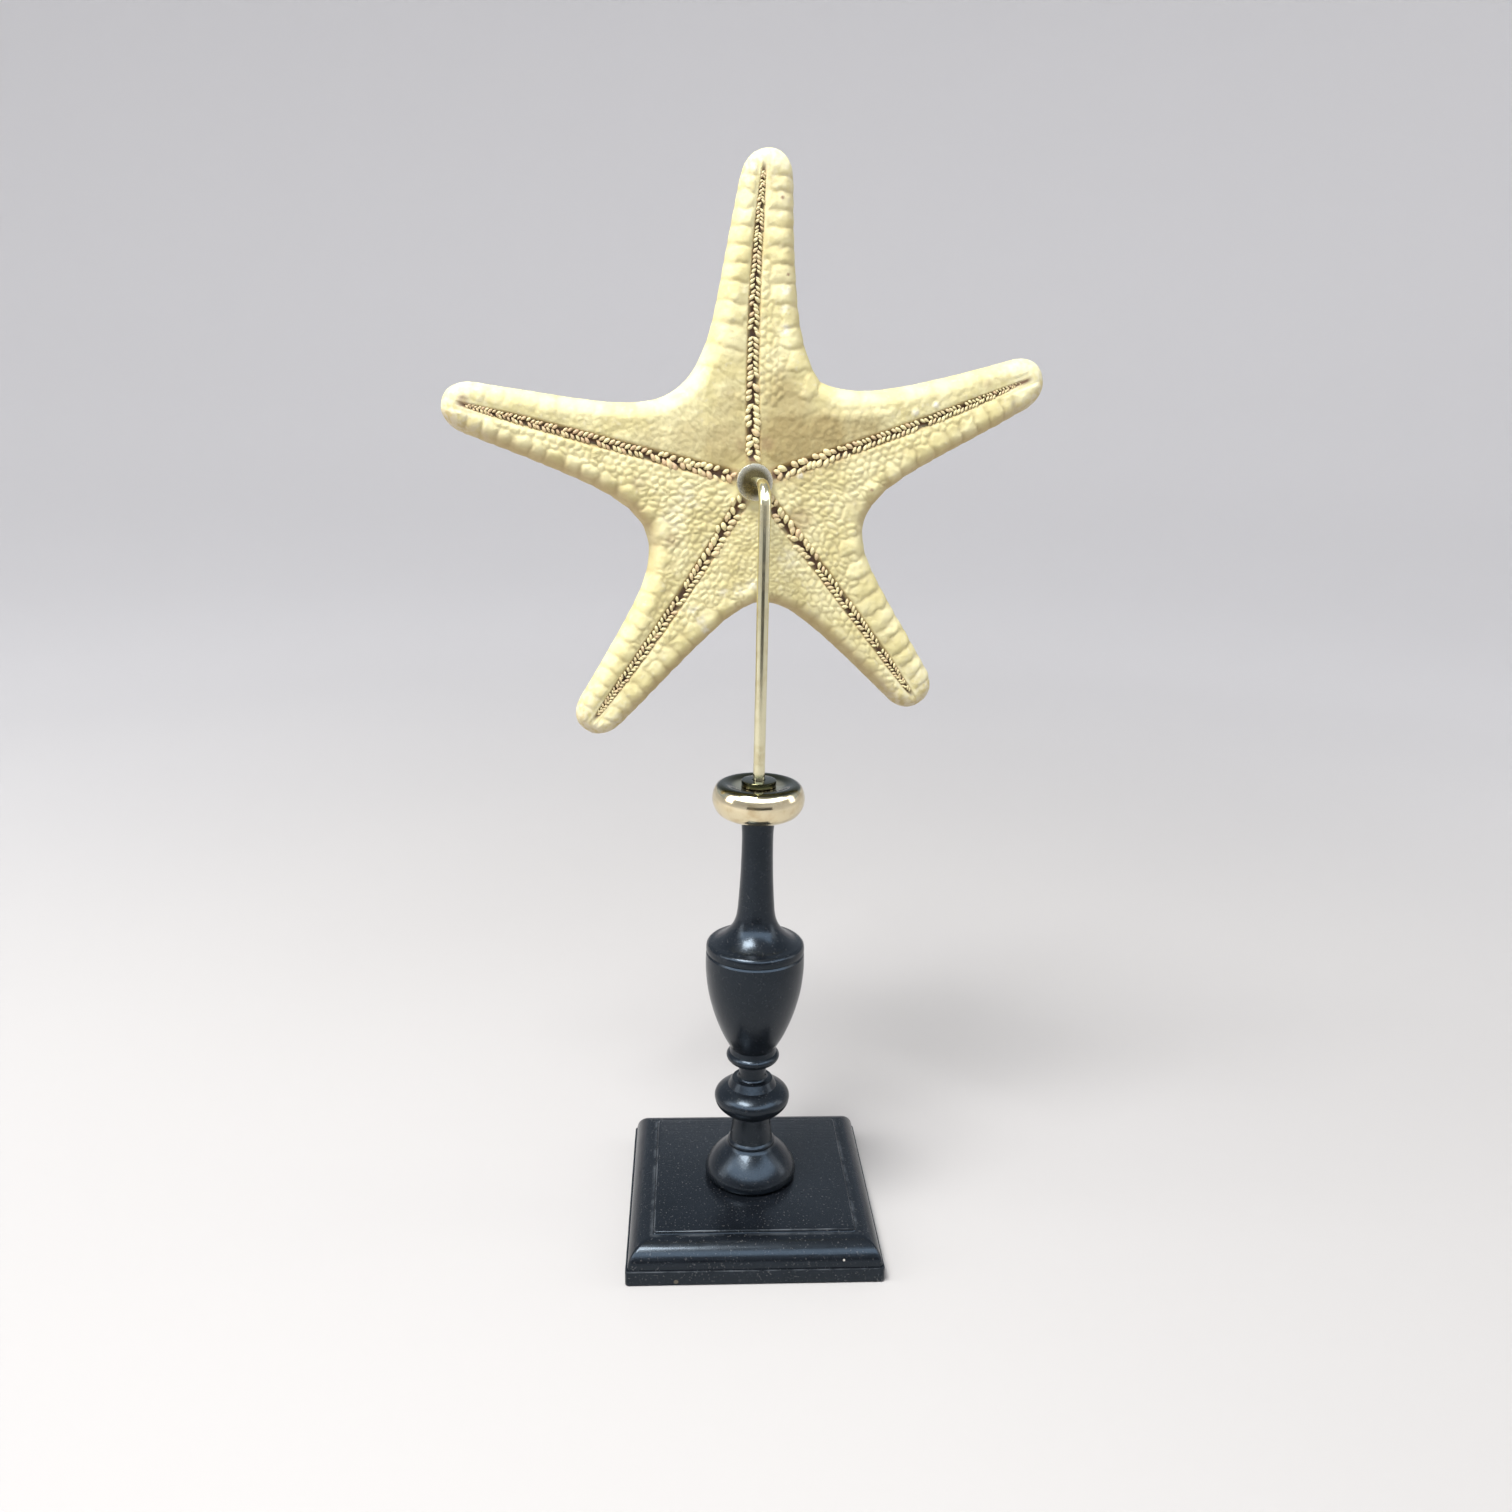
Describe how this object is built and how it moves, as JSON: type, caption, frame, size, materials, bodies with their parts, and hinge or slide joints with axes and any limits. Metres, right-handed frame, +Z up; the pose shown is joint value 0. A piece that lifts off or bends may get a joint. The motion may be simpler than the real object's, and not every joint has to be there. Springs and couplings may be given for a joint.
{
  "type": "dried starfish on a stand",
  "caption": "Dried starfish shown underside out, held by its mouth on a bent brass rod above a turned, ebonised wooden stand with a square moulded base.",
  "frame": {"origin": "centre of the square base's underside, on the column's axis, at the surface that the stand rests on", "axes": "+Z up along the column, +X to the right seen from the front, -Y towards the front, the side that the starfish shows its underside to"},
  "size_m": [0.225, 0.1058, 0.4137],
  "materials": {
    "dried_starfish": "dry, matt, limy skin with small plates",
    "polished_brass": "polished, lightly scratched",
    "ebonised_wood": "black stain under a satin polish"
  },
  "bodies": {
    "root": {"starfish": "dried_starfish", "rod_disc": "polished_brass", "rod": "polished_brass", "collar_cap": "polished_brass", "collar": "polished_brass", "column": "ebonised_wood", "base": "ebonised_wood"}
  },
  "joints": []
}
